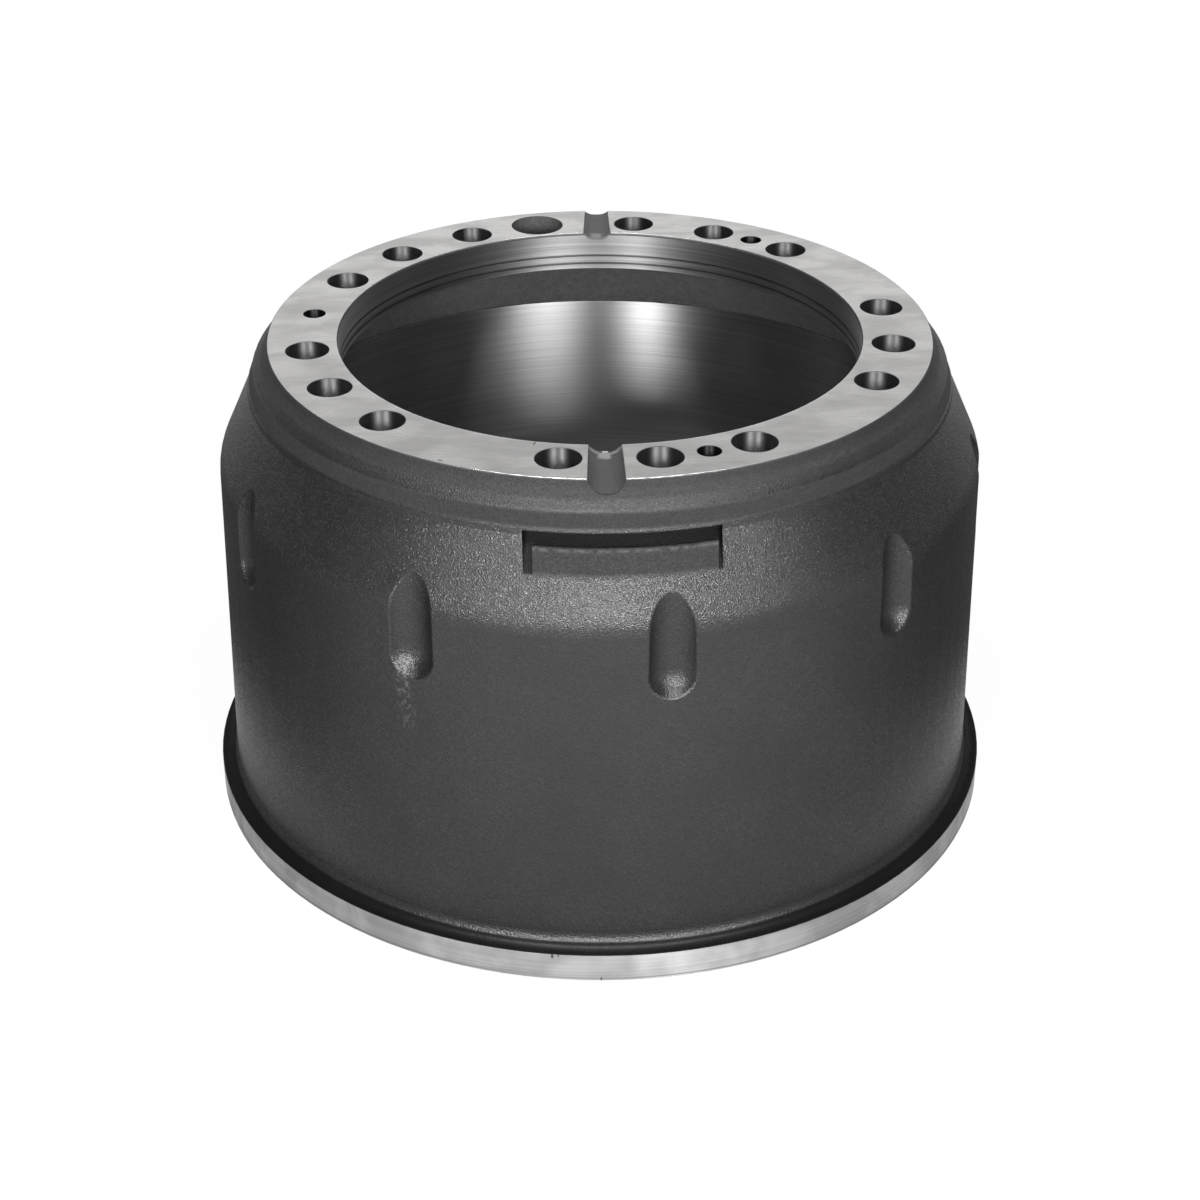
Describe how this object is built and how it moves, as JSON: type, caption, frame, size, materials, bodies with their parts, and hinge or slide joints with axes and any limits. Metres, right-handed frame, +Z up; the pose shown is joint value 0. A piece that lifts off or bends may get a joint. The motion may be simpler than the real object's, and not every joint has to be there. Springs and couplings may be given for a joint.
{
  "type": "brake drum",
  "caption": "Deep cast brake drum for a heavy axle: drilled mounting flange with a wide bore, sloping shoulder, fluted wall and turned rim at the open end.",
  "frame": {"origin": "on the axis, in the plane of the open rim's machined face, which the drum stands on", "axes": "+Z up along the axis from the open rim to the mounting face; the drilled pattern is symmetrical about Y, and the cast tablet is on the -Y side"},
  "size_m": [0.4719, 0.472, 0.2845],
  "materials": {
    "painted_casting": "black paint on the cast outside, bare turned iron on the flange, bore, friction surface and rim"
  },
  "bodies": {
    "root": {"brake_drum": "painted_casting"}
  },
  "joints": []
}
